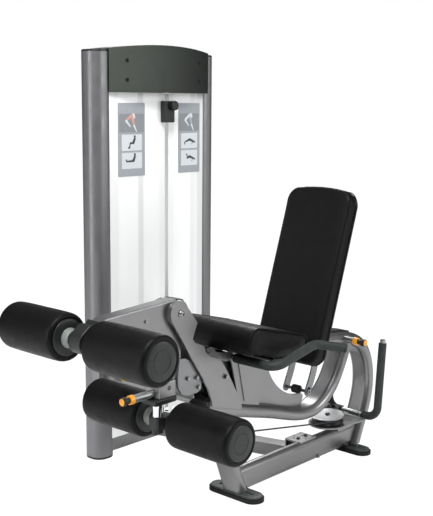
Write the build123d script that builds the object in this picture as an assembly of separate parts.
from build123d import *
import math
import os

os.makedirs("parts", exist_ok=True)

# Selectorised seated leg extension machine with prone leg curl, millimetres.
# X runs from the front foot (user's toes) to the rear, Y from the seat's mid-plane to the
# weight tower, Z up. The origin is on the floor by the front foot.
# The user faces -X, so left is -Y. The tower's front covers face the seat, towards -Y.

# ---------------------------------------------------------------- driving dimensions
# A pair that places an axis along Y is (x, z).
SIDES = (-1, 1)
TUBE_W, TUBE_H, WALL = 92.0, 50.0, 4.0  # flat-oval frame tube
RUN = 0.06  # radial running clearance
KNEE = (-341.0, 720.0)  # lever axis
UPPER_AXLE = (-709.0, 687.0)  # front roller axle
LOWER_AXLE = (-374.0, 366.0)
AXLE_R, AXLE_END = 12.5, 324.0
PLATE_IN, PLATE_OUT = 37.0, 45.0  # knee side plates, |Y|
BACK_PIVOT = (356.0, 522.0)  # backrest hinge
SEAT_HALF = 180.0
POST_XS = POST_X1, POST_X2 = -88.0, 477.0
POST_Y, POST_A, POST_B, POST_R = 653.0, 97.0, 99.0, 42.0
POST_Z0, POST_TOP, POST_WALL = 8.0, 1570.0, 3.0
STACK_X, STACK_Y = 245.0, 654.0
ROD_XS = [STACK_X + side * 146.0 for side in SIDES]  # guide rods
GUIDE_R = 9.0
FRONT_PULLEY, FRONT_PULLEY_R = (-126.0, 468.0), 84.0
CABLE_R = 3.0
CABLE_SEAT = 3.38  # depth of the cable's centreline below a pulley's rim

# Frame centrelines, X Z
SPINE_POINTS = [
    (-205, 371), (-176, 363), (26, 309), (183, 266), (332, 226), (425, 230),
    (485, 263), (532, 308), (567, 363), (601, 430), (612, 460),
]
ARCH_POINTS = [
    (668, -20), (676, -4), (716, 84), (751, 160), (772, 237), (765, 336),
    (716, 421), (625, 467), (521, 484), (398, 488),
]
LEG_POINTS = [(-2, -14), (-14, 14), (-74, 163), (-161, 354)]


# ---------------------------------------------------------------- helpers
def save(name, *pieces):
    solids = [solid for piece in pieces for solid in piece.solids()]
    shape = Compound(children=solids) if len(solids) > 1 else solids[0]
    export_step(shape, f"parts/{name}.step")


def cyl_x(y, z, radius, x0, x1):
    return Pos((x0 + x1) / 2, y, z) * Rot(0, 90, 0) * Cylinder(radius, abs(x1 - x0))


def cyl_y(x, z, radius, y0, y1):
    return Pos(x, (y0 + y1) / 2, z) * Rot(90, 0, 0) * Cylinder(radius, abs(y1 - y0))


def cyl_z(x, y, radius, z0, z1):
    return Pos(x, y, (z0 + z1) / 2) * Cylinder(radius, abs(z1 - z0))


def through_y(axis, radius):
    """Cutter along Y, long enough to pass through everything near the mid-plane."""
    return cyl_y(*axis, radius, -100, 100)


def stepped(cylinder, axis, *steps):
    """Coaxial cylinders fused in order; a step is (radius, start, end)."""
    shape = cylinder(*axis, *steps[0])
    for step in steps[1:]:
        shape = shape + cylinder(*axis, *step)
    return shape


def cable(start, end):
    start, end = Vector(*start), Vector(*end)
    run = end - start
    return Plane(origin=(start + end) * 0.5, z_dir=run) * Cylinder(CABLE_R, run.length)


def box(x0, x1, y0, y1, z0, z1):
    return Pos((x0 + x1) / 2, (y0 + y1) / 2, (z0 + z1) / 2) * Box(x1 - x0, y1 - y0, z1 - z0)


def prism(corners, travel):
    wire = Polyline(*corners, close=True)
    return Solid.extrude(Face(Wire(wire.edges())), travel)


def prism_y(points, y0, y1):
    """X Z polygon extruded from y0 to y1."""
    return prism([(x, y0, z) for x, z in points], Vector(0, y1 - y0, 0))


def prism_z(points, z0, z1):
    """X Y polygon extruded from z0 to z1."""
    return prism([(x, y, z0) for x, y in points], Vector(0, 0, z1 - z0))


def arc_points(centre_x, centre_y, radius, start, end, steps):
    angles = [math.radians(start + (end - start) * i / steps) for i in range(steps + 1)]
    return [(centre_x + radius * math.cos(a), centre_y + radius * math.sin(a)) for a in angles]


def xz_spline(points):
    return Edge.make_spline([Vector(x, 0, z) for x, z in points])


def oval_tube(points):
    """Outer and inner solids of a flat-oval tube, wide side across Y."""
    path = xz_spline(points)
    plane = Plane(origin=path.position_at(0), x_dir=(0, 1, 0), z_dir=path.tangent_at(0))
    return [
        sweep(plane * SlotOverall(TUBE_W - 2 * inset, TUBE_H - 2 * inset), path=path)
        for inset in (0, WALL)
    ]


def round_bar(points, radius, bend):
    path = FilletPolyline(*points, radius=bend)
    return sweep(Plane(origin=path @ 0, z_dir=path % 0) * Circle(radius), path=path)


def hexbolt(point, direction, across_flats, height, washer_r):
    """Hexagon head on a washer, standing on a face at point."""
    plane = Plane(origin=Vector(*point), z_dir=Vector(*direction))
    washer = plane * Pos(0, 0, 0.8) * Cylinder(washer_r, 1.6)
    hexagon = RegularPolygon(across_flats / 2, 6, major_radius=False)
    return washer + plane * Pos(0, 0, 1.6) * extrude(hexagon, height)


def largest(shape):
    return sorted(shape.solids(), key=lambda solid: solid.volume)[-1]


def round_edges(shape, edges, radius):
    # Guards against a radius the kernel can't build: tries smaller ones, then leaves it sharp.
    for factor in (1.0, 0.6, 0.3):
        try:
            return fillet(edges, radius * factor)
        except Exception:
            pass
    return shape


def round_all(shape, kind, radius):
    """Round every edge along an axis or of one geometry type."""
    return round_edges(shape, shape.edges().filter_by(kind), radius)


# ---------------------------------------------------------------- feet
PAD_T, FOOT_PLATE_T = 13, 8
FOOT_TOP = PAD_T + FOOT_PLATE_T
FOOT_Y = 3.0
FOOT_HOLE_PITCH, FOOT_HOLE_R = 148.0, 6.0


def foot(x, length, width):
    """Rubber pad and the steel plate on it, long across Y, with two bolt holes."""
    turn = Rot(0, 0, 90)
    pad = Pos(x, FOOT_Y, 0) * turn * extrude(SlotOverall(length, width), PAD_T)
    plate_outline = SlotOverall(length - 12, width - 12)
    plate = Pos(x, FOOT_Y, PAD_T) * turn * extrude(plate_outline, FOOT_PLATE_T)
    for side in SIDES:
        hole = cyl_z(x, FOOT_Y + side * FOOT_HOLE_PITCH / 2, FOOT_HOLE_R, -2, 30)
        pad, plate = pad - hole, plate - hole
    return pad, plate


front_pad, front_plate = foot(-9.0, 235.0, 82.0)
rear_pad, rear_plate = foot(652.0, 250.0, 76.0)
save("foot_pads", front_pad, rear_pad)
save("foot_plates", front_plate, rear_plate)

# ---------------------------------------------------------------- main frame tubes
spine_outer, spine_inner = oval_tube(SPINE_POINTS)
arch_outer, arch_inner = oval_tube(ARCH_POINTS)
leg_outer, leg_inner = oval_tube(LEG_POINTS)
below_feet = box(-400, 1000, -300, 300, -200, FOOT_TOP)
arch_solid = largest(arch_outer - below_feet)
spine_solid = largest(spine_outer - arch_solid)
leg_solid = largest(leg_outer - below_feet - spine_solid)
save("main_spine", largest(spine_solid - spine_inner))
save("rear_arch", largest(arch_solid - arch_inner))
save("front_leg", largest(leg_solid - leg_inner))

# Lower rail: the same tube on edge, trimmed to the length between leg and arch
RAIL_Z, RAIL_L = 59.0, 780
rail_plane = Plane(origin=(-30, 0, RAIL_Z), x_dir=(0, 0, 1), z_dir=(1, 0, 0))
rail_solid = rail_plane * extrude(SlotOverall(TUBE_W, TUBE_H), RAIL_L)
rail = rail_solid - (
    rail_plane * extrude(SlotOverall(TUBE_W - 2 * WALL, TUBE_H - 2 * WALL), RAIL_L)
)
rail = rail - leg_outer - arch_solid - front_plate - front_pad - rear_plate - rear_pad
between_feet = [solid for solid in rail.solids() if 100 < solid.center().X < 600]
save("base_rail", sorted(between_feet, key=lambda solid: solid.volume)[-1])

# Rounded plug on the spine's front end
nose_x, nose_z = SPINE_POINTS[0]
nose_plane = Plane(
    origin=(nose_x, 0, nose_z),
    x_dir=(0, 1, 0),
    z_dir=xz_spline(SPINE_POINTS).tangent_at(0) * -1,
)
nose = nose_plane * extrude(SlotOverall(TUBE_W, TUBE_H), 10)
nose = round_edges(nose, nose.faces().sort_by(Axis.X)[0].edges(), 8)


# ---------------------------------------------------------------- tower posts and base
def post(x, grow=0.0, z0=POST_Z0, z1=POST_TOP):
    """Solid post at x, grown by a total amount across its section."""
    section = RectangleRounded(POST_A + grow, POST_B + grow, POST_R + grow / 2)
    return Pos(x, POST_Y, z0) * extrude(section, z1 - z0)


post_solids = [post(x) for x in POST_XS]
posts, end_caps = [], [nose]
for x, solid in zip(POST_XS, post_solids):
    posts.append(solid - post(x, -2 * POST_WALL, 4, POST_TOP + 4))
    top_cap = post(x, 0, POST_TOP, POST_TOP + 8)
    top_cap = round_edges(top_cap, top_cap.faces().sort_by(Axis.Z)[-1].edges(), 5)
    end_caps += [post(x, -1, 0, POST_Z0), top_cap]
save("tower_posts", *posts)
save("tube_end_caps", *end_caps)

# Bar along X between the posts, and the slanting brace from it to the rail
BRACE_ANGLE = math.degrees(math.atan2(615, -170)) - 90
base_bar_solid = box(-60, 450, 640, 690, 8, 70)
base_bar = largest(base_bar_solid - post_solids[0] - post_solids[1])
brace = Pos(325, 332, 38) * Rot(0, 0, BRACE_ANGLE) * Box(60, 720, 50)
brace = largest(brace - rail_solid - base_bar_solid)
ANGLE_TOP = 106.5
angle_bracket = box(340, 440, -14, 60, 101, ANGLE_TOP) + box(340, 440, 55, 60, 63, 101.5)
angle_bracket = largest(angle_bracket - rail_solid - brace)

# ---------------------------------------------------------------- knee side plates
KNEE_SHAFT_R, PULLEY_AXLE_R = 12.5, 8.0
KNEE_PLATE_OUTLINE = [  # X Z
    (-347, 762), (-367, 759), (-382, 748), (-389, 730), (-385, 702), (-344, 642),
    (-294, 564), (-239, 485), (-213, 444), (-194, 398), (-190, 367), (-41, 327),
    (-41, 357), (-122, 494), (-158, 540), (-197, 552), (-225, 571), (-232, 594),
    (-275, 612), (-288, 628), (-281, 646), (-266, 679), (-295, 717), (-325, 752),
]


def knee_plate(y0, y1):
    plate = largest(prism_y(KNEE_PLATE_OUTLINE, y0, y1) - spine_solid)
    return plate - through_y(KNEE, KNEE_SHAFT_R) - through_y(FRONT_PULLEY, PULLEY_AXLE_R)


knee_plates = [knee_plate(-PLATE_OUT, -PLATE_IN), knee_plate(PLATE_IN, PLATE_OUT)]
save("knee_plates", *knee_plates)

SHAFT_END = PLATE_OUT + 1.5
knee_shaft = stepped(
    cyl_y, KNEE, (KNEE_SHAFT_R, -SHAFT_END, SHAFT_END), (9, -SHAFT_END - 2, -SHAFT_END)
)
knee_shaft = knee_shaft - cyl_y(*KNEE, 4, -PLATE_OUT - 5, -PLATE_OUT - 2)
front_axle = cyl_y(*FRONT_PULLEY, PULLEY_AXLE_R, -PLATE_OUT, PLATE_OUT)
for side in SIDES:
    end = (FRONT_PULLEY[0], side * PLATE_OUT, FRONT_PULLEY[1])
    front_axle = front_axle + hexbolt(end, (0, side, 0), 14, 8, 11)
for y0, y1 in ((12.6, PLATE_IN), (-PLATE_IN, -12.6)):  # spacers beside the pulley
    front_axle = front_axle + cyl_y(*FRONT_PULLEY, 13, y0, y1)

# ---------------------------------------------------------------- tie beam, tower to spine
TIE_Z, TIE_END_Y = 346, 590
SADDLE_DX, SADDLE_DZ = 52, 28  # half sizes
tie_bar = Pos(POST_X1, 0, TIE_Z) * Rot(90, 0, 0) * extrude(SlotOverall(56, 42), 1300, both=True)
tie = box(-400, 400, 30, TIE_END_Y, 200, 500) & tie_bar
tie = largest(tie - spine_solid - leg_solid - knee_plates[1])
saddle = box(
    POST_X1 - SADDLE_DX, POST_X1 + SADDLE_DX, TIE_END_Y, 630, TIE_Z - SADDLE_DZ, TIE_Z + SADDLE_DZ
)
save("tower_tie_beam", tie, largest(saddle - post_solids[0]))


# ---------------------------------------------------------------- pulleys
def pulley(radius, width):
    """Grooved cable pulley about local Z; the larger ones are dished on both faces."""
    bore, half, groove_r = PULLEY_AXLE_R + RUN, width / 2, radius - 6.48
    profile = [  # radius, Z
        (bore, -half), (radius, -half), (radius, -half + 1.5), (groove_r, -1.2),
        (groove_r, 1.2), (radius, half - 1.5), (radius, half), (bore, half),
    ]
    corners = [Vector(r, 0, z) for r, z in profile]
    sides = [Edge.make_line(a, b) for a, b in zip(corners, corners[1:] + corners[:1])]
    wheel = revolve(Face(Wire(sides)), Axis.Z)
    depth, rim_r, hub_r = half - 4, radius - 14, bore + 9
    if rim_r - hub_r > 8:
        for side in SIDES:
            dish = Cylinder(rim_r, 2 * depth) - Cylinder(hub_r, 2 * depth)
            wheel = wheel - Pos(0, 0, side * half) * dish
    return wheel


FRONT_PULLEY_W = 24
front_pulley = pulley(FRONT_PULLEY_R, FRONT_PULLEY_W)
save("front_pulley", Pos(FRONT_PULLEY[0], 0, FRONT_PULLEY[1]) * Rot(90, 0, 0) * front_pulley)

# ---------------------------------------------------------------- lever arm
ARM_HALF, ARM_HUB_R = 25, 43
TELE_X, TELE_R = -404.0, 18  # vertical telescoping tube
BRACKET_X0, BRACKET_Z0, BRACKET_Z1 = -427.0, 450, 502
TELE_PIN_Z, TELE_PIN_R = 466.0, 6.0
START_PIN, START_PIN_R = (TELE_X, 482.0), 5.0
SIDE_PLUG = (-383, 481)  # round plug on the bracket's left face
ARM_OUTLINE = [  # X Z
    (-312, 762), (-341, 766), (-650, 748), (-715, 738), (-739, 716), (-742, 680),
    (-728, 656), (-690, 655), (-480, 674), (-414, 604), (-428, 548), (-428, 502),
    (-330, 502), (-318, 600), (-300, 690), (-298, 740),
]
POCKET_OUTLINE = [  # X Z
    (-470, 660), (-412, 598), (-410, 575), (-330, 575), (-316, 640), (-330, 668), (-400, 670),
]

arm = prism_y(ARM_OUTLINE, -ARM_HALF, ARM_HALF)
top_edges = [
    edge for edge in arm.edges()
    if abs(abs(edge.center().Y) - ARM_HALF) < 0.1 and edge.center().Z > 742
]
arm = round_edges(arm, top_edges, 10)
arm = arm + cyl_y(*KNEE, ARM_HUB_R, -35, 35)
arm = arm - through_y(KNEE, KNEE_SHAFT_R + RUN)
for y0, y1 in ((-40, -17), (17, 40)):
    arm = arm - (prism_y(POCKET_OUTLINE, y0, y1) - through_y(KNEE, ARM_HUB_R))
bracket = round_all(box(BRACKET_X0, -352, -32, 32, BRACKET_Z0, BRACKET_Z1), Axis.Z, 6)
arm = (arm + bracket) - cyl_z(TELE_X, 0, TELE_R + RUN, 430, 566)
arm = arm - through_y(UPPER_AXLE, AXLE_R) - cyl_y(*SIDE_PLUG, 12, -40, -27)
arm = arm - cyl_x(0, TELE_PIN_Z, TELE_PIN_R + RUN, -470, TELE_X)
arm = largest(arm - cyl_y(*START_PIN, START_PIN_R + RUN, 22, 60))
save("lever_arm", arm)

CAM_OUTLINE = [  # X Z
    (-337, 567), (-307, 563), (-273, 545), (-243, 510), (-232, 470), (-237, 446),
    (-253, 438), (-302, 438), (-327, 448), (-343, 472), (-345, 500),
]
CAM_OUT = 33
save(
    "cam_plates",
    prism_y(CAM_OUTLINE, -CAM_OUT, -ARM_HALF),
    prism_y(CAM_OUTLINE, ARM_HALF, CAM_OUT),
    cyl_y(-276, 486, 31, -ARM_HALF, ARM_HALF) - arm,
)

lever_bolts = []
for x, z in [(-300, 496), (-259, 491), (-250, 457)]:
    for side, plate in zip(SIDES, knee_plates):
        lever_bolts.append(hexbolt((x, side * CAM_OUT, z), (0, side, 0), 10, 3.2, 7.5) - plate)
for side in SIDES:
    lever_bolts.append(hexbolt((-479, side * ARM_HALF, 713), (0, side, 0), 9, 3, 6))
lever_bolts.append(cyl_y(*SIDE_PLUG, 7, -32, -27) - cyl_y(*SIDE_PLUG, 3.5, -34, -29.5))
save("lever_bolts", *lever_bolts)

# Lever caps: bush under the bracket, cap round the arm's front end, collars on the upper
# axle, and a thin rim behind the knee hub
END_CAP_OUTLINE = [  # X Z
    (-742, 680), (-739, 716), (-715, 738), (-690, 739.6), (-690, 745.5), (-718, 744),
    (-745, 720), (-748.5, 679), (-731, 650), (-690, 649), (-690, 655), (-728, 656),
]
RIM_CUT = [KNEE, (-420, 900), (-600, 800), (-600, 600), (-341, 500), (-250, 500)]
COLLAR_OUT = 44.5

bush = round_all(box(-445, -350, -34, 34, 432, BRACKET_Z0), Axis.Z, 12)
bush = largest(bush - cyl_z(TELE_X, 0, TELE_R + RUN, 400, 510))
end_cap = largest(prism_y(END_CAP_OUTLINE, -26, 26) - arm)


def collar(axle, radius, side, inner_y):
    return cyl_y(*axle, radius, side * inner_y, side * COLLAR_OUT) - through_y(axle, AXLE_R)


hub_rim = cyl_y(*KNEE, 46, -ARM_HALF, ARM_HALF) - through_y(KNEE, ARM_HUB_R)
hub_rim = largest(hub_rim - prism_y(RIM_CUT, -60, 60) - arm)
upper_collars = [collar(UPPER_AXLE, 27, side, 26.05) for side in SIDES]
save("lever_caps", bush, end_cap, *upper_collars, hub_rim)
save("upper_axle", cyl_y(*UPPER_AXLE, AXLE_R, -AXLE_END, AXLE_END))

# ---------------------------------------------------------------- telescope and lower axle
TELE_Z0, TELE_HOLE_PITCH = 345, 20
telescope = cyl_z(TELE_X, 0, TELE_R, TELE_Z0, 560) - cyl_z(TELE_X, 0, 14.5, 340, 570)
for k in range(4):
    telescope = telescope - cyl_x(0, TELE_PIN_Z + TELE_HOLE_PITCH * k, 6.2, -440, TELE_X)
save("telescope_tube", telescope)

tele_envelope = cyl_z(TELE_X, 0, TELE_R, 300, 500)
yoke = round_all(box(-427, -350, -24, 24, TELE_Z0, 384), Axis.Z, 12)
yoke = largest(yoke - tele_envelope - through_y(LOWER_AXLE, AXLE_R))
tele_cap = cyl_z(TELE_X, 0, 20, TELE_Z0 - 13, TELE_Z0)
lower_collars = [collar(LOWER_AXLE, 24, side, 24.05) - tele_envelope for side in SIDES]
save("telescope_yoke", yoke, tele_cap, *lower_collars)
save("lower_axle", largest(cyl_y(*LOWER_AXLE, AXLE_R, -AXLE_END, AXLE_END) - tele_envelope))

# ---------------------------------------------------------------- rollers
FOAM_R, FOAM_BORE_R = 76.0, 21
ROLL_IN, ROLL_OUT = 70.0, 331.0  # |Y|
FLANGE_R, FLANGE_IN, FLANGE_OUT = 58, ROLL_IN + 4, ROLL_OUT - 6


def roller(axle, side, name):
    """Foam roller on a flanged hub tube."""
    def part(radius, y0, y1):
        return cyl_y(*axle, radius, side * y0, side * y1)

    foam = round_all(part(FOAM_R, ROLL_IN, ROLL_OUT), GeomType.CIRCLE, 14)
    foam = foam - part(FOAM_BORE_R, 60, 340)
    foam = foam - part(FLANGE_R, 60, FLANGE_IN) - part(FLANGE_R, FLANGE_OUT, 340)
    hub = (
        part(FOAM_BORE_R, ROLL_IN - 1, ROLL_OUT - 5)
        + part(FLANGE_R, ROLL_IN - 1, FLANGE_IN)
        + part(FLANGE_R, FLANGE_OUT, ROLL_OUT)
        + part(31, 60, 70)
        + part(25, 45, 66)
    )
    hub = hub - part(AXLE_R + RUN, 30, 325)
    ring_groove = part(33, ROLL_OUT - 1.2, ROLL_OUT + 3) - part(31, ROLL_OUT - 3, ROLL_OUT + 4)
    save(f"roller_{name}", foam, hub - ring_groove)


for level, axle in (("upper", UPPER_AXLE), ("lower", LOWER_AXLE)):
    roller(axle, -1, f"{level}_left")
    roller(axle, 1, f"{level}_right")

# ---------------------------------------------------------------- lever spring pins
# The front pin locks the telescope, the right-hand one sets the start position.
PIN_AXIS = (0, TELE_PIN_Z)
tele_housing = cyl_x(*PIN_AXIS, 11, -512, BRACKET_X0)
tele_housing = tele_housing - cyl_x(*PIN_AXIS, TELE_PIN_R + RUN, -520, -420)
start_housing = cyl_y(*START_PIN, 9, 32, 150) - cyl_y(*START_PIN, START_PIN_R + RUN, 20, 160)
save("pin_housings", tele_housing, start_housing)
save("telescope_pin", stepped(
    cyl_x, PIN_AXIS,
    (TELE_PIN_R, -520, -423), (15, -530, -513), (10.5, -545, -530), (14, -560, -545),
))
save("start_pin", stepped(
    cyl_y, START_PIN, (START_PIN_R, 23, 160), (12, 151, 166), (16, 166, 205)
))

# ---------------------------------------------------------------- seat
SEAT_ROLL, SEAT_ROLL_R = (-113.0, 606.0), 49  # rounded front edge
SEAT_PROFILE = [(-105, 654.4), (151, 590.3), (151, 517), (-26, 531), (-62, 566), (-113, 566)]
PAN_PROFILE = [(-26, 530.2), (149, 516.2), (149, 508), (-20, 521.5)]
CHEEK_PROFILE = [
    (-211, 580), (-172, 575), (-168, 562), (-152, 556), (-120, 551), (-60, 546),
    (-60, 518), (-115, 518), (-196, 552),
]
POST_PROFILE = [(-84, 525), (-20, 521.3), (75, 513.7), (72, 296), (-44, 328), (-48, 388)]
RIB_PROFILE = [(-46, 500), (-8, 500), (26, 345), (-12, 355)]
SUPPORT_IN, SUPPORT_OUT, CHEEK_OUT = 24, 30, 36  # |Y|

cushion = prism_y(SEAT_PROFILE, -SEAT_HALF, SEAT_HALF)
save("seat_cushion", cushion + cyl_y(*SEAT_ROLL, SEAT_ROLL_R, -SEAT_HALF, SEAT_HALF))
save("seat_pan", prism_y(PAN_PROFILE, -SEAT_HALF + 14, SEAT_HALF - 14))

roll_clearance = through_y(SEAT_ROLL, SEAT_ROLL_R + 1.5)
cheek_spans = ((-CHEEK_OUT, -SUPPORT_OUT), (SUPPORT_OUT, CHEEK_OUT))
cheeks = [
    largest(prism_y(CHEEK_PROFILE, *span) - roll_clearance - plate)
    for span, plate in zip(cheek_spans, knee_plates)
]
cheek_web = largest(box(-206, -200, -SUPPORT_OUT, SUPPORT_OUT, 560, 576) - roll_clearance)
support = prism_y(POST_PROFILE, -SUPPORT_OUT, -SUPPORT_IN)
support = support + prism_y(POST_PROFILE, SUPPORT_IN, SUPPORT_OUT)
support = support + box(66, 72, -SUPPORT_IN, SUPPORT_IN, 320, 513.5)
support = support + box(-4, 2, -SUPPORT_IN, SUPPORT_IN, 330, 519)
for side in SIDES:
    support = support + prism_y(RIB_PROFILE, side * SUPPORT_OUT, side * 33.5)
support = largest(support - spine_solid)
save("seat_post", support, *cheeks, cheek_web)

# Mid-plane gusset behind the seat post, its upper edge an arc about the backrest hinge
ARC_R, ARC_START_Z = 224.0, 508.6
arc_start = 180 + math.degrees(math.asin((BACK_PIVOT[1] - ARC_START_Z) / ARC_R))
gusset_outline = (
    [(72, 513.0), (132.5, ARC_START_Z)]
    + arc_points(*BACK_PIVOT, ARC_R, arc_start, 268.5, 16)
    + [(359, 292), (361, 282), (357, 271), (345, 240), (300, 236), (72, 296)]
)
save("seat_gusset", largest(prism_y(gusset_outline, -5, 5) - spine_solid - support))

# ---------------------------------------------------------------- seat handles
BAR_R, GRIP_R = 11, 16


def seat_handle(side):
    """Bar bent out beside the seat, and the sleeve that covers it with a domed end."""
    bend, end = Vector(133, side * 225, 567), Vector(199, side * 300, 554)
    outer = [(-80, side * 225, 525), tuple(bend), tuple(end)]
    bar = round_bar([(-80, side * 36.0, 525)] + outer, BAR_R, 38)
    sleeve = round_bar([(-80, side * 48.0, 525)] + outer, GRIP_R, 38)
    cap = Plane(origin=end, z_dir=(end - bend).normalized()) * extrude(Circle(GRIP_R), 10)
    far_face = cap.faces().sort_by(lambda face: (face.center() - end).length)[-1]
    cap = round_edges(cap, far_face.edges(), 6)
    return bar, largest((sleeve - bar) + cap)


handles = [seat_handle(side) for side in SIDES]

# ---------------------------------------------------------------- backrest
BACK_T, BOARD_T, BACK_HALF = 52.0, 13.0, 150.0
BACK_DEPTH = BACK_T + BOARD_T
RECLINE = math.radians(18.4)
COS_R, SIN_R = math.cos(RECLINE), math.sin(RECLINE)


def back_point(along, behind):
    """X Z of a point up the backrest and behind its front face."""
    return 256 + SIN_R * along + COS_R * behind, 500 + COS_R * along - SIN_R * behind


def back_outline(inset):
    """Pad outline as (Y, distance along the backrest)."""
    half = BACK_HALF - inset
    bottom, shoulder, top = -118 + inset, 561 - inset, 616 - inset
    corner_r, shoulder_r = 46 - inset * 0.5, 58.0
    points = arc_points(half - corner_r, bottom + corner_r, corner_r, 270, 360, 7)
    points += arc_points(half - shoulder_r, shoulder - 8, shoulder_r, 0, 68, 7)
    crown_y, crown_along = points[-1]
    for i in range(1, 8):
        t = i / 8.0
        rise = (top - crown_along) * math.sin(t * math.pi / 2)
        points.append((crown_y * (1 - t), crown_along + rise))
    return points + [(0, top)] + [(-y, along) for y, along in reversed(points)]


def back_slab(inset, front, rear):
    corners = []
    for y, along in back_outline(inset):
        x, z = back_point(along, front)
        corners.append(Vector(x, y, z))
    depth = rear - front
    return prism(corners, Vector(COS_R * depth, 0, -SIN_R * depth))


save("back_cushion", back_slab(0, 0, BACK_T))
save("back_board", back_slab(7, BACK_T, BACK_DEPTH))

ARM_IN, ARM_OUT, ARM_HALF_W = 48.0, 54.0, 17.0
STOP = (330, 318)  # stop bolt at the arms' lower end
STOP_R = 6
PLATE_BACK = BACK_DEPTH + 5
arm_path = xz_spline([
    STOP, (350, 360), (366, 400), (371, 455), (358, 522),
    back_point(90, BACK_DEPTH + 22), back_point(150, BACK_DEPTH + 23),
    back_point(215, BACK_DEPTH + 23),
])
one_edge, other_edge = [], []
for i in range(41):
    point, tangent = arm_path.position_at(i / 40), arm_path.tangent_at(i / 40)
    dx, dz = tangent.Z * ARM_HALF_W, tangent.X * ARM_HALF_W
    one_edge.append((point.X - dx, point.Z + dz))
    other_edge.append((point.X + dx, point.Z - dz))
PAD_CLEARANCE = [
    back_point(40, 0), back_point(300, 0), back_point(300, PLATE_BACK),
    back_point(62, PLATE_BACK), back_point(62, BACK_DEPTH), back_point(40, BACK_DEPTH),
]


def back_arm(y0, y1):
    strap = prism_y(one_edge + other_edge[::-1], y0, y1) + cyl_y(*STOP, ARM_HALF_W, y0, y1)
    strap = strap - prism_y(PAD_CLEARANCE, -100, 100)
    return largest(strap - through_y(BACK_PIVOT, 10 + RUN) - through_y(STOP, STOP_R))


arm_plate = prism_y([
    back_point(62, BACK_DEPTH), back_point(232, BACK_DEPTH),
    back_point(232, PLATE_BACK), back_point(62, PLATE_BACK),
], -ARM_OUT, ARM_OUT)
stop_bolt = stepped(
    cyl_y, STOP,
    (STOP_R, -ARM_OUT, ARM_OUT), (10, -ARM_OUT - 5, -ARM_OUT), (10, ARM_OUT, ARM_OUT + 5),
)
stop_bolt = stop_bolt - cyl_y(*STOP, 4, -ARM_OUT - 6, -ARM_OUT - 1.5)
back_arms = [back_arm(-ARM_OUT, -ARM_IN), back_arm(ARM_IN, ARM_OUT)]
save("back_arms", *back_arms, arm_plate, stop_bolt)
bumper = round_all(cyl_y(*STOP, 16, -14, 18), GeomType.CIRCLE, 3)
save("back_stop_bumper", bumper - through_y(STOP, STOP_R))

LUG_PROFILE = [
    (420, 468), (420, 508), (372, 539), (356, 540.5), (341, 531), (338, 519),
    (345, 506), (385, 478),
]
BACK_PIN, BACK_PIN_R = (572.0, 476.0), 6
lugs = [
    largest(prism_y(LUG_PROFILE, y0, y1) - through_y(BACK_PIVOT, 10) - arch_solid)
    for y0, y1 in ((-44, -36), (36, 44))
]
back_housing = cyl_y(*BACK_PIN, 12.5, -40, -88) - cyl_y(*BACK_PIN, BACK_PIN_R + RUN, -30, -100)
save("back_pivot_lugs", *lugs, largest(back_housing - arch_solid))
back_shaft = stepped(cyl_y, BACK_PIVOT, (10, -57, 57), (14, -61, -57), (14, 57, 61))
save("back_pin", stepped(
    cyl_y, BACK_PIN,
    (BACK_PIN_R, -46.5, -95), (15, -89, -108), (11, -108, -124), (14, -124, -142),
))

# Rubber strip on the crown of the arch: the folded pad lies over it
arch_path = xz_spline(ARCH_POINTS)
crown_us = []
for i in range(401):
    point = arch_path.position_at(i / 400)
    if point.X < 620 and point.Z > 400:
        crown_us.append(i / 400)
strip_start = crown_us[0]
strip_end = [u for u in crown_us if arch_path.position_at(u).X > 482][-1]
strip_under, strip_over = [], []
for i in range(15):
    u = strip_start + (strip_end - strip_start) * i / 14
    point, tangent = arch_path.position_at(u), arch_path.tangent_at(u)
    up = 1 if tangent.X <= 0 else -1
    for points, offset in ((strip_under, TUBE_H / 2 - 2), (strip_over, TUBE_H / 2 + 5)):
        points.append((point.X + up * tangent.Z * offset, point.Z - up * tangent.X * offset))
strip = largest(prism_y(strip_under + strip_over[::-1], -26, 26) - arch_solid)

# Rear curl handles: one bent bar across the arch, with a grip each side
CURL_X, CURL_Y, CURL_Z, CURL_BEND = 705.0, 118.0, 140, 45
curl_bar = round_bar([
    (731, -CURL_Y, 458), (CURL_X, -CURL_Y, CURL_Z), (CURL_X, CURL_Y, CURL_Z), (731, CURL_Y, 458),
], BAR_R, CURL_BEND)
curl_grips = []
for side in SIDES:
    sleeve = round_bar([
        (CURL_X, side * 50, CURL_Z), (CURL_X, side * CURL_Y, CURL_Z), (729.85, side * CURL_Y, 444),
    ], GRIP_R, CURL_BEND)
    curl_grips.append(largest(sleeve - curl_bar))
save("handle_bars", *[bar for bar, _ in handles], largest(curl_bar - arch_solid))
save("handle_grips", *[grip for _, grip in handles], *curl_grips)

# ---------------------------------------------------------------- rear cable pulleys
TILT = math.radians(4.0)
PULLEY_UP = Vector(-math.sin(TILT), 0, math.cos(TILT))
REAR, REAR_R = Vector(534, 0, 155), 62.0
IDLER, IDLER_R = Vector(632, 66, 153), 42.0
rear_plane = Plane(origin=REAR, x_dir=(0, 1, 0), z_dir=PULLEY_UP)
idler_plane = Plane(origin=IDLER, x_dir=(0, 1, 0), z_dir=PULLEY_UP)
rear_pulley = rear_plane * pulley(REAR_R, 22)
save("rear_pulley", rear_pulley)
save("idler_pulley", idler_plane * pulley(IDLER_R, 20))


def upright_axle(plane, centre, length, head_offset, head_height):
    axle = plane * Pos(0, 0, -4) * Cylinder(PULLEY_AXLE_R, length)
    return axle + hexbolt(centre + PULLEY_UP * head_offset, PULLEY_UP, 14, head_height, 11)


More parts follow.
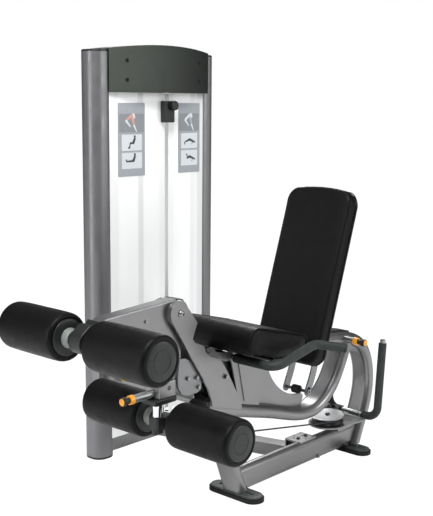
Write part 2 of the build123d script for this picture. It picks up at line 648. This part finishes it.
guard = rear_plane * Pos(0, 0, 14) * (Cylinder(67, 3) - Cylinder(PULLEY_AXLE_R, 5))
rear_axle = upright_axle(rear_plane, REAR, 39, 15.5, 7)
idler_axle = upright_axle(idler_plane, IDLER, 36, 14, 6)

# Shelf that carries both pulleys, the web below it and a spacer under each pulley
SHELF_Z0, SHELF_Z1, SHELF_R = 131, 137, 76
shelf_outline = (
    [(REAR.X, SHELF_R)]
    + arc_points(REAR.X, 0, SHELF_R, 100, 260, 16)
    + [(REAR.X, -SHELF_R), (600, -80), (660, -88), (700, -60), (712, -46), (760, -46)]
    + [(760, 46), (712, 46), (700, 60), (660, 88), (600, 80)]
)
bar_gap = box(683, 770, -110, 110, 121, 170)
shelf = prism_z(shelf_outline, SHELF_Z0, SHELF_Z1) - arch_solid - rear_axle - idler_axle
shelf = largest(shelf - bar_gap)
web = box(575, 760, -22, 22, 80, SHELF_Z0) - rail_solid - arch_solid
web = largest(web - box(590, 676, -16, 16, 60, 118) - bar_gap)
rear_spacer = cyl_z(REAR.X - 10, REAR.Y, 16, SHELF_Z1, 141.5)
rear_spacer = rear_spacer - (rear_plane * Pos(0, 0, 50) * Cylinder(80, 122))
idler_spacer = cyl_z(IDLER.X, IDLER.Y, 16, SHELF_Z1, 142)
idler_spacer = idler_spacer - (idler_plane * Pos(0, 0, 50) * Cylinder(60, 120.4))
spacers = [largest(rear_spacer - rear_axle), largest(idler_spacer - idler_axle)]

# ---------------------------------------------------------------- weight stack
PLATE_T, PLATES, LIFTED = 22.0, 16, 5
RESTING = PLATES - LIFTED
STACK_Z0 = 186.0
HEAD_Z0 = STACK_Z0 + PLATES * PLATE_T
HEAD_T = 40
SELECTOR_R, SELECTOR_HOLE_R = 12, 6
stack_outline = RectangleRounded(350, 72, 6)


def hole_z(index):
    """Height of the selector hole through a plate, counted from the bottom."""
    return STACK_Z0 + index * PLATE_T + 10


def selector_hole(index):
    return cyl_y(STACK_X, hole_z(index), SELECTOR_HOLE_R, 600, 720)


def stack_block(z0, height, rod_hole_r, centre_hole_r):
    block = Pos(STACK_X, STACK_Y, z0) * extrude(stack_outline, height)
    for x in ROD_XS:
        block = block - cyl_z(x, STACK_Y, rod_hole_r, z0 - 5, z0 + 60)
    return block - cyl_z(STACK_X, STACK_Y, centre_hole_r, z0 - 5, z0 + 60)


def weight_plate(index, centre_hole_r):
    block = stack_block(STACK_Z0 + index * PLATE_T, PLATE_T - 1.5, 14, centre_hole_r)
    return block - selector_hole(index)


save("resting_plates", *[weight_plate(k, 14) for k in range(RESTING)])
save("lifted_plates", *[weight_plate(k, SELECTOR_R) for k in range(RESTING, PLATES)])
selector = cyl_z(STACK_X, STACK_Y, SELECTOR_R, STACK_Z0 + 6, HEAD_Z0 + 60)
for k in range(PLATES):
    selector = selector - selector_hole(k)
save("stack_head", stack_block(HEAD_Z0, HEAD_T, GUIDE_R + RUN, SELECTOR_R), selector)
save("weight_pin", stepped(cyl_y, (STACK_X, hole_z(RESTING)), (5.6, 586, 694), (15, 560, 586)))

# Guide rods, the sockets they stand in and the rubber stops under the stack
ROD_Z0, CROWN_Z0, SOCKET_TOP = 70, 1478, 158


def rod_sleeve(x, radius, z0, z1):
    return cyl_z(x, STACK_Y, radius, z0, z1) - cyl_z(x, STACK_Y, GUIDE_R, 60, 200)


save("guide_rods", *[cyl_z(x, STACK_Y, GUIDE_R, ROD_Z0, CROWN_Z0) for x in ROD_XS])
sockets = [rod_sleeve(x, 14, ROD_Z0, SOCKET_TOP) for x in ROD_XS]
save("tower_base_bars", base_bar, brace, *sockets)
save("rubber_stops", strip, *[rod_sleeve(x, 24, SOCKET_TOP, STACK_Z0) for x in ROD_XS])

# ---------------------------------------------------------------- crown and tower pulleys
TOP_Y, TOP_Z = 689.0, 1425.0
TOWER_PULLEY_R, TOWER_PULLEY_W = 38.6, 20
crown = largest(box(-39, 428, 622, 690, CROWN_Z0, 1538) - post_solids[0] - post_solids[1])
crown = crown - box(STACK_X - 22, STACK_X + 22, 600, 700, 1470, 1486)
save("crown_beam", crown)
top_cheeks = []
for x in (STACK_X - 20, STACK_X + 14):
    cheek = box(x, x + 6, 660, 716, 1400, 1486) - cyl_x(TOP_Y, TOP_Z, PULLEY_AXLE_R, 200, 300)
    top_cheeks.append(largest(cheek - box(200, 300, 691, 800, 1470, 1500) - crown))
tower_pulley = pulley(TOWER_PULLEY_R, TOWER_PULLEY_W)
save("top_pulley", Pos(STACK_X, TOP_Y, TOP_Z) * Rot(0, 90, 0) * tower_pulley)
top_axle = cyl_x(TOP_Y, TOP_Z, PULLEY_AXLE_R, STACK_X - 24, STACK_X + 24)

# Base pulley, in line with the cable from the rear pulley, turning it up the tower
cable_exit = Vector(STACK_X, 724, 130)
rear_tangent = REAR + Vector(0.898, 0.439, 0) * (REAR_R - CABLE_SEAT)
along = cable_exit - rear_tangent
along = Vector(along.X, along.Y, 0).normalized()
base_axis = Vector(along.Y, -along.X, 0)
base_centre = cable_exit - along * 35
base_plane = Plane(origin=base_centre, z_dir=base_axis)
save("base_pulley", base_plane * pulley(TOWER_PULLEY_R, TOWER_PULLEY_W))
base_axle = base_plane * Cylinder(PULLEY_AXLE_R, 50)
base_cheeks = []
for side in SIDES:
    centre = base_centre + base_axis * (side * 17)
    cheek = Plane(origin=centre, x_dir=along, z_dir=base_axis) * Box(56, 130, 5)
    cheek = cheek & box(0, 500, 600, 800, 70, 152)
    base_cheeks.append(largest(cheek - base_axle))
save("pulley_brackets", shelf, web, *spacers, guard, *top_cheeks, *base_cheeks)
save(
    "pivot_axles",
    knee_shaft, front_axle, back_shaft, rear_axle, idler_axle, top_axle, base_axle,
)

# ---------------------------------------------------------------- cables
base_envelope = base_plane * Cylinder(TOWER_PULLEY_R, TOWER_PULLEY_W)
idler_envelope = idler_plane * Cylinder(IDLER_R + 0.2, 21)
top_envelope = cyl_x(TOP_Y, TOP_Z, TOWER_PULLEY_R + 0.05, STACK_X - 10, STACK_X + 10)
front_envelope = cyl_y(
    *FRONT_PULLEY, FRONT_PULLEY_R + 0.05, -FRONT_PULLEY_W / 2, FRONT_PULLEY_W / 2
)
leg_to_rear = cable((-78, -0.7, 242), (REAR.X, -(REAR_R - CABLE_SEAT), 154.5))
leg_to_rear = leg_to_rear - leg_solid - rear_pulley - shelf - guard
base_to_rear = cable(base_centre - Vector(0, 0, 35.2), rear_tangent)
base_to_rear = base_to_rear - base_envelope - rear_pulley - idler_envelope - guard
tower_rise = cyl_z(STACK_X, 724.3, CABLE_R, 130, TOP_Z) - top_envelope - base_envelope
front_drop_x = FRONT_PULLEY[0] + FRONT_PULLEY_R - CABLE_SEAT + 0.3
front_drop = cyl_z(front_drop_x, 0, CABLE_R, 300, FRONT_PULLEY[1])
front_drop = front_drop - spine_solid - front_envelope
runs = (leg_to_rear, base_to_rear, tower_rise, front_drop)
save("frame_cables", *[largest(run) for run in runs])
save("cable_drop", cyl_z(STACK_X, STACK_Y, CABLE_R, HEAD_Z0 + 60.0, TOP_Z - 14))

# ---------------------------------------------------------------- tower covers
COVER_Z0, COVER_Z1 = 74.0, 1421.0
COVER_Y0, COVER_Y1 = 608, 611
post_gaps = [post(x, 1, 0, 1700) for x in POST_XS]
saddle_gap = box(
    POST_X1 - SADDLE_DX - 5, POST_X1 + SADDLE_DX + 5, 580, 640,
    TIE_Z - SADDLE_DZ - 5, TIE_Z + SADDLE_DZ + 5,
)
cover_1 = box(-70, 231, COVER_Y0, COVER_Y1, COVER_Z0, COVER_Z1) - post_gaps[0] - saddle_gap
cover_2 = largest(box(253, 470, COVER_Y0, COVER_Y1, COVER_Z0, COVER_Z1) - post_gaps[1])
cover_2 = largest(cover_2 - box(272, 318, 600, 620, 60, 126))  # notch over the brace
save("front_shrouds", largest(cover_1), cover_2)

rear_cover = box(-70, 470, 696, 699, COVER_Z0, COVER_Z1)
rear_cover = rear_cover + box(-30, 420, 696, 738, COVER_Z0, COVER_Z1)
rear_cover = rear_cover - box(-26, 416, 690, 734.5, COVER_Z0 - 10, COVER_Z1 + 10)
save("rear_shroud", largest(rear_cover - post_gaps[0] - post_gaps[1]))


def placard(x0, x1, z0=1102, z1=1382):
    centre = ((x0 + x1) / 2, COVER_Y0, (z0 + z1) / 2)
    plane = Plane(origin=centre, x_dir=(1, 0, 0), z_dir=(0, -1, 0))
    return plane * extrude(RectangleRounded(x1 - x0, z1 - z0, 4), 1.5)


save("placards", placard(-19, 121), placard(306, 431))

# Header: a bowed front shell and a rear shell under one arched top
HEAD_X0, HEAD_X1, HEADER_Z0 = -68.0, 473.0, 1422.0
HEAD_HALF, HEAD_MID = (HEAD_X1 - HEAD_X0) / 2, (HEAD_X0 + HEAD_X1) / 2
HEAD_WALL, BOW = 4, 36.0


def bowed_y(u):
    """Y of the header's bowed face; u runs from -1 to 1 across it."""
    return 600 - BOW * (1 - u * u)


def header_plan(inset, rear_y):
    points = [(HEAD_X0 + inset, rear_y)]
    for i in range(17):
        u = -1 + 2 * i / 16
        points.append((HEAD_MID + (HEAD_HALF - inset) * u, bowed_y(u) + inset))
    return points + [(HEAD_X1 - inset, rear_y)]


def header_top(inset):
    """Everything under the arched top, lowered by inset."""
    edge_z = 1583 - inset
    points = [(HEAD_X0 - 10, edge_z)]
    for i in range(15):
        u = -1 + 2 * i / 14
        points.append((HEAD_MID + HEAD_HALF * u, edge_z + 19 * (1 - u * u)))
    points += [(HEAD_X1 + 10, edge_z), (HEAD_X1 + 10, 1350), (HEAD_X0 - 10, 1350)]
    return prism_y(points, 500, 800)


header_front = prism_z(header_plan(0, 603.4), HEADER_Z0, 1620) & header_top(0)
front_hollow = prism_z(header_plan(HEAD_WALL, 620), HEADER_Z0 + HEAD_WALL, 1600)
header_front = largest(header_front - (front_hollow & header_top(HEAD_WALL)))
header_rear = box(HEAD_X0, HEAD_X1, 603.6, 712, 1540, 1620) + box(-30, 420, 690, 742, 1424, 1560)
header_rear = header_rear & header_top(0)
rear_hollow = box(HEAD_X0 + HEAD_WALL, HEAD_X1 - HEAD_WALL, 600, 708, 1500, 1620)
rear_hollow = rear_hollow + box(-26, 416, 600, 738, 1420, 1556)
header_rear = header_rear - (rear_hollow & header_top(HEAD_WALL))
for x in POST_XS:
    header_rear = header_rear - post(x, 1, 0, 1579)
save("header_shells", header_front, largest(header_rear - crown))

# Add-on weight carriage in the slot between the front covers
carriage = round_all(box(205, 258, 580, 604, 1306, 1390), Axis.Y, 5)
carriage = carriage + box(STACK_X - 8, STACK_X + 4, 604, 618, 1330, 1366)
carriage = carriage + box(STACK_X - 30, STACK_X + 30, 618, 626, 1320, 1376)
knob = round_all(cyl_y(246, 1372, 19, 562, 580), GeomType.CIRCLE, 3)
save("addon_weight", carriage, knob)

# ---------------------------------------------------------------- frame fasteners
bolts = [hexbolt((x, -24, 30), (0, -1, 0), 12, 6, 9) - rail_solid for x in (440, 629)]
for side, plate in zip(SIDES, knee_plates):
    bolts.append(hexbolt((-196, side * CHEEK_OUT, 566), (0, side, 0), 10, 5, 7) - plate)
bolts += [hexbolt((x, TIE_END_Y, TIE_Z), (0, -1, 0), 12, 6, 8.5) for x in (-127, -48)]
bolts += [hexbolt((x, 20, ANGLE_TOP), (0, 0, 1), 12, 6, 9) for x in (372, 418)]
bolts.append(angle_bracket)
for x in (8, 400):  # screw heads on the header's bowed face
    for z in (1468, 1540):
        y = bowed_y((x - HEAD_MID) / HEAD_HALF)
        bolts.append(largest(cyl_y(x, z, 5.5, y - 1.8, y + 3) - header_front))
save("frame_bolts", *bolts)
